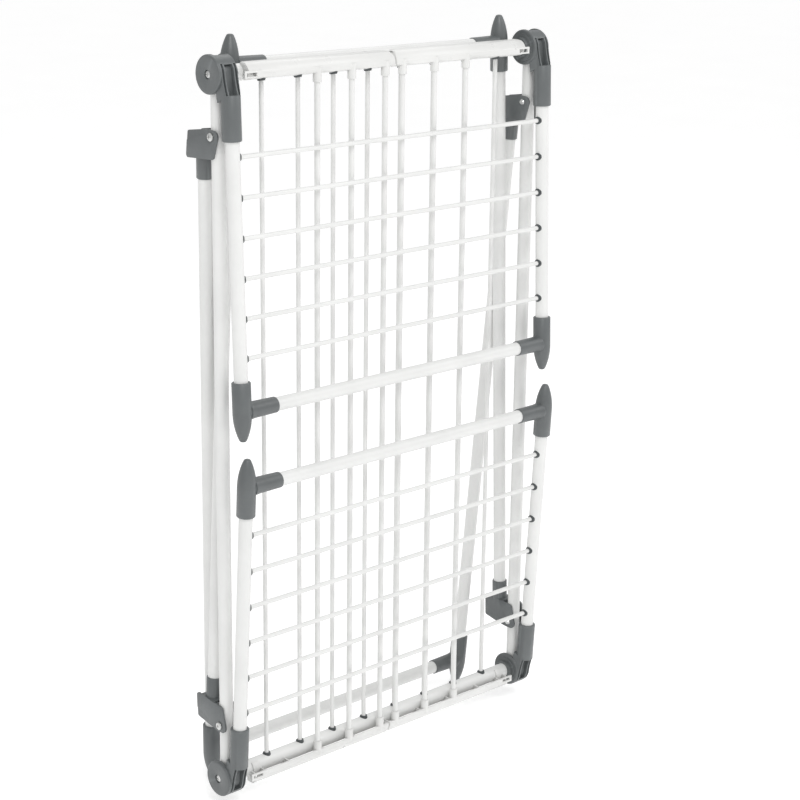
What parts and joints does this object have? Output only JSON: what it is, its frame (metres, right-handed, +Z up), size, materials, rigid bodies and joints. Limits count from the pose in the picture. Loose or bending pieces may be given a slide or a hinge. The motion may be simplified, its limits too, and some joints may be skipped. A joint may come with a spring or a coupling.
{
  "type": "folding clothes airer",
  "caption": "Free-standing winged clothes airer of white tubes and rods with grey joints, folded flat: two wings fold over the front, two leg frames over the back.",
  "frame": {"origin": "centre of the bounding box at its bottom, where the folded airer stands", "axes": "X across the width, -Y to the front where the wings lie, +Z up along the folded height"},
  "size_m": [0.574, 0.152, 1.0058],
  "materials": {
    "white_steel": "satin powder coat",
    "white_plastic": "semi-gloss moulded",
    "grey_plastic": "matte moulded",
    "dark_plastic": "matte moulded",
    "zinc": "bright zinc plate"
  },
  "bodies": {
    "panel": {"side_tube_left": "white_steel", "side_tube_right": "white_steel", "end_tube_top": "white_steel", "end_tube_bottom": "white_steel", "panel_rod_1": "white_steel", "panel_rod_2": "white_steel", "panel_rod_3": "white_steel", "panel_rod_4": "white_steel", "panel_rod_5": "white_steel", "panel_rod_6": "white_steel", "panel_rod_7": "white_steel", "panel_rod_8": "white_steel", "panel_rod_grommets": "dark_plastic", "corner_knuckles": "dark_plastic", "grid_rail_top_left": "white_plastic", "grid_rail_top_right": "white_plastic", "grid_rail_bottom_left": "white_plastic", "grid_rail_bottom_right": "white_plastic", "grid_rods_left": "white_steel", "grid_rods_right": "white_steel", "grid_clips": "white_plastic", "hub_screws": "zinc", "leg_pivot_screws": "zinc", "inner_leg_bracket_left": "grey_plastic", "inner_leg_bracket_right": "grey_plastic", "inner_leg_tube_left": "white_steel", "inner_leg_tube_right": "white_steel", "inner_leg_crossbar": "white_steel", "inner_leg_foot_left": "grey_plastic", "inner_leg_foot_right": "grey_plastic"},
    "upper_wing": {"upper_wing_hub_left": "grey_plastic", "upper_wing_hub_right": "grey_plastic", "upper_wing_tube_left": "white_steel", "upper_wing_tube_right": "white_steel", "upper_wing_crossbar": "white_steel", "upper_wing_tip_left": "grey_plastic", "upper_wing_tip_right": "grey_plastic", "upper_wing_rods": "white_steel", "upper_wing_grommets": "dark_plastic"},
    "lower_wing": {"lower_wing_hub_left": "grey_plastic", "lower_wing_hub_right": "grey_plastic", "lower_wing_tube_left": "white_steel", "lower_wing_tube_right": "white_steel", "lower_wing_crossbar": "white_steel", "lower_wing_tip_left": "grey_plastic", "lower_wing_tip_right": "grey_plastic", "lower_wing_rods": "white_steel", "lower_wing_grommets": "dark_plastic"},
    "outer_leg": {"outer_leg_bracket_left": "grey_plastic", "outer_leg_bracket_right": "grey_plastic", "outer_leg_tube_left": "white_steel", "outer_leg_tube_right": "white_steel", "outer_leg_crossbar": "white_steel", "outer_leg_foot_left": "grey_plastic", "outer_leg_foot_right": "grey_plastic"}
  },
  "joints": [
    {"name": "upper_wing_hinge", "type": "hinge", "parent": "panel", "child": "upper_wing", "pos_m": [0, -0.01635, 0.96216], "axis": [-1, 0, 0], "range_deg": [0, 170]},
    {"name": "lower_wing_hinge", "type": "hinge", "parent": "panel", "child": "lower_wing", "pos_m": [0, -0.01635, 0.04016], "axis": [1, 0, 0], "range_deg": [0, 170]},
    {"name": "outer_leg_hinge", "type": "hinge", "parent": "panel", "child": "outer_leg", "pos_m": [0, -0.01635, 0.88716], "axis": [1, 0, 0], "range_deg": [0, 89]}
  ]
}
